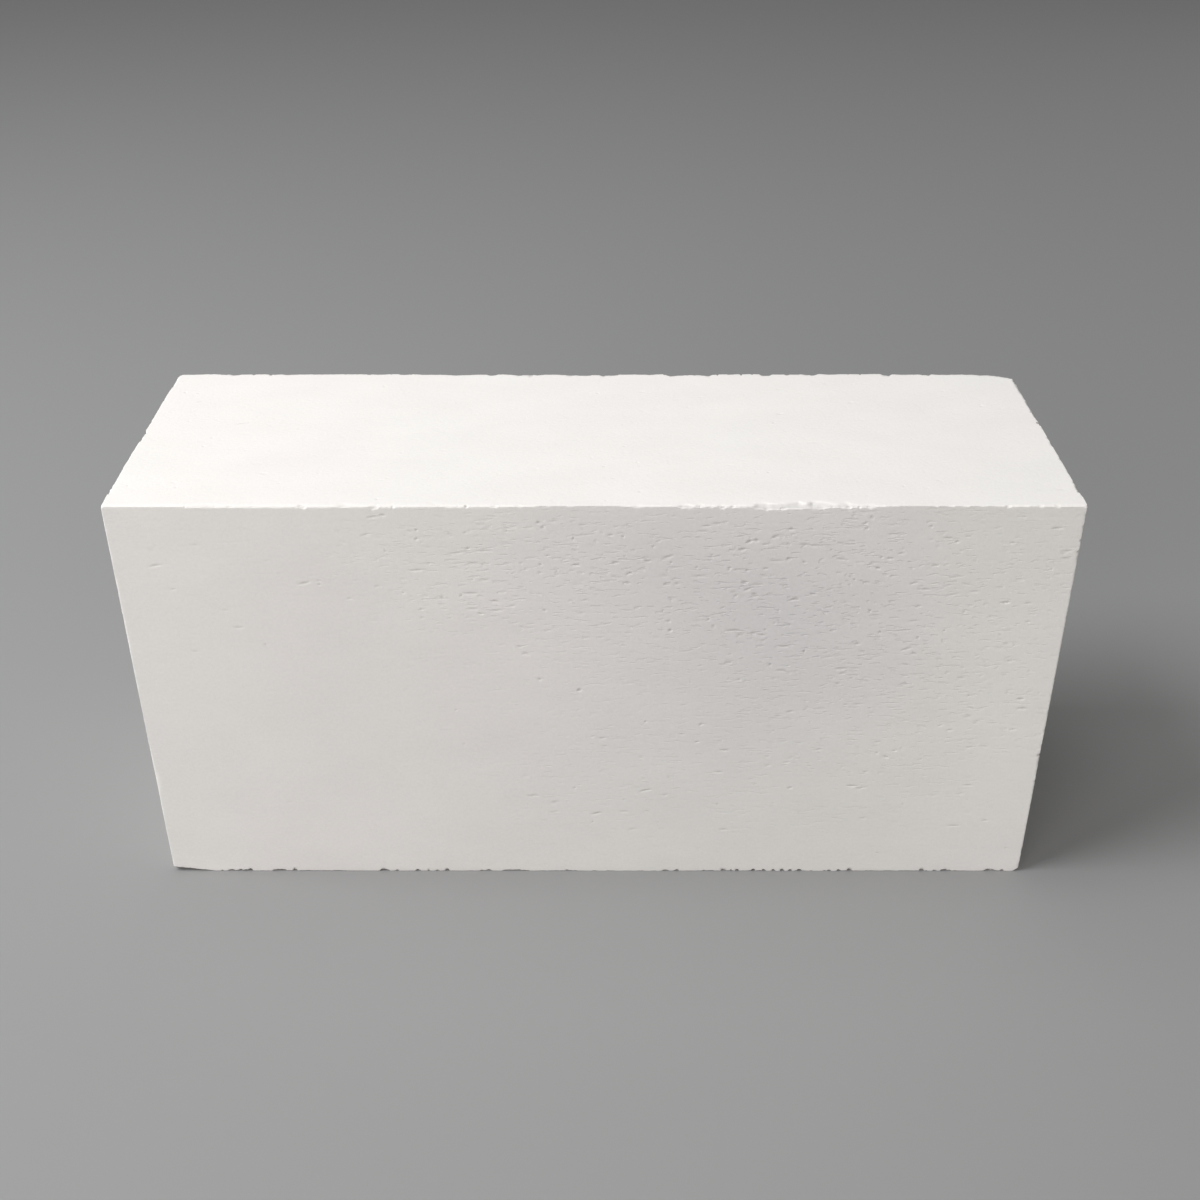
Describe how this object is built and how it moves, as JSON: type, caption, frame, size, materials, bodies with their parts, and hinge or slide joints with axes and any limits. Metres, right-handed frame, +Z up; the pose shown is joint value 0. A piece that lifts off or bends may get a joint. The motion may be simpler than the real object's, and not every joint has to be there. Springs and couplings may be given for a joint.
{
  "type": "gymnastics chalk block",
  "caption": "Solid white rectangular block of pressed magnesium carbonate with sawn faces and crumbled arrises, standing on its long narrow face.",
  "frame": {"origin": "middle of the long narrow face that the block stands on, at the middle of its bounding box", "axes": "+X along the block's length, +Y through its thickness from the broad front face to the broad back face, +Z up from the base"},
  "size_m": [0.104, 0.035, 0.0508],
  "materials": {
    "chalk": "matte"
  },
  "bodies": {
    "root": {"chalk_block": "chalk"}
  },
  "joints": []
}
